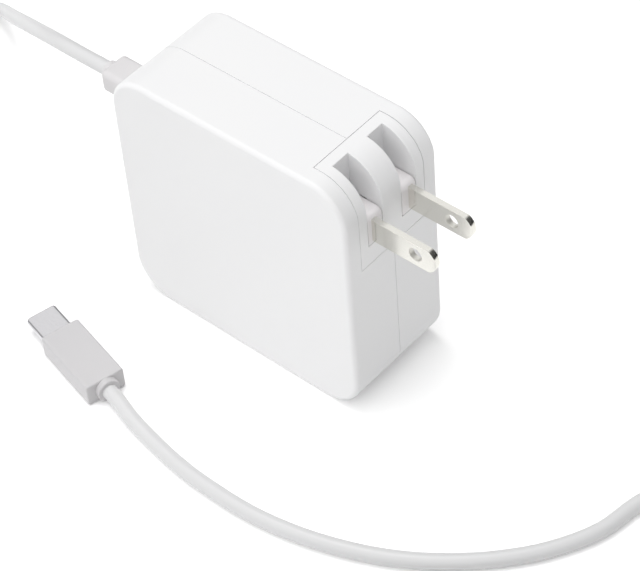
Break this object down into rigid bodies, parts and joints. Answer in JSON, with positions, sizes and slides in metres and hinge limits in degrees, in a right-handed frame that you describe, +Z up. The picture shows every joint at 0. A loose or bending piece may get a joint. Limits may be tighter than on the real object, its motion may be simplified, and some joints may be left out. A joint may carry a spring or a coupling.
{
  "type": "laptop power adapter",
  "caption": "White rounded-square wall power adapter with folding two-blade mains plug and a captive thin cord ending in a USB-C plug.",
  "frame": {"origin": "centre of the narrow edge that the case stands on, at the level of the surface", "axes": "+X along the blades when they are folded out, +Z up, +Y through the case's thickness towards the back shell"},
  "size_m": [0.2892, 0.1409, 0.07],
  "materials": {
    "case_plastic": "smooth satin white",
    "rotor_plastic": "smooth white",
    "relief_plastic": "satin white elastomer",
    "grip_plastic": "satin off-white",
    "cord_jacket": "satin white elastomer",
    "strap_fabric": "woven hook-and-loop strap",
    "nickel": "nickel plate, warm",
    "steel": "plain bright steel",
    "spring_brass": "spring brass",
    "gold_plating": "gold plated",
    "aluminium_sheet": "mill finish",
    "copper_sheet": "bare copper",
    "copper_wire": "enamelled copper",
    "ferrite": "ground ferrite",
    "circuit_board": "solder mask over glass fibre",
    "amber_film": "polyimide film",
    "black_plastic": "moulded",
    "dark_sleeve": "shrink sleeve over an aluminium can",
    "brown_plastic": "moulded",
    "yellow_plastic": "moulded",
    "blue_coating": "dipped epoxy",
    "wire_white": "wire insulation",
    "wire_red": "wire insulation",
    "grey_rubber": "filled silicone"
  },
  "bodies": {
    "adapter": {"front_shell": "case_plastic", "back_shell": "case_plastic", "plug_housing": "case_plastic", "prong_shaft": "steel", "contact_spring_left": "spring_brass", "contact_spring_right": "spring_brass", "detent_spring": "steel", "mains_lead_left": "wire_white", "mains_lead_right": "wire_white", "main_board": "circuit_board", "insulating_sheet": "amber_film", "fuse": "brown_plastic", "varistor": "blue_coating", "choke_base": "black_plastic", "choke_core": "ferrite", "choke_windings": "copper_wire", "x_capacitor": "yellow_plastic", "bridge_rectifier": "black_plastic", "bulk_capacitors": "dark_sleeve", "primary_switch": "black_plastic", "primary_heat_sink": "aluminium_sheet", "transformer_core": "ferrite", "transformer_bobbin": "black_plastic", "transformer_winding": "amber_film", "y_capacitor": "blue_coating", "optocoupler": "black_plastic", "control_board": "circuit_board", "control_chip": "black_plastic", "rectifier_chip": "black_plastic", "output_heat_sink": "copper_sheet", "output_capacitors": "aluminium_sheet", "output_choke": "black_plastic", "output_leads": "wire_red", "heat_spreader": "aluminium_sheet", "thermal_pad": "grey_rubber", "strain_relief": "relief_plastic", "cord_lead": "cord_jacket", "cord_coil": "cord_jacket", "cord_tie": "strap_fabric", "cord_front": "cord_jacket", "usb_collar": "relief_plastic", "usb_grip": "grip_plastic", "usb_shell": "steel", "usb_insulator": "black_plastic", "usb_contacts": "gold_plating", "usb_board": "circuit_board"},
    "prongs": {"prong_rotor": "rotor_plastic", "prong_blade_left": "nickel", "prong_blade_right": "nickel"}
  },
  "joints": [
    {"name": "prong_fold", "type": "hinge", "parent": "adapter", "child": "prongs", "pos_m": [0.033, 0, 0.0508], "axis": [0, -1, 0], "range_deg": [0, 90]}
  ]
}
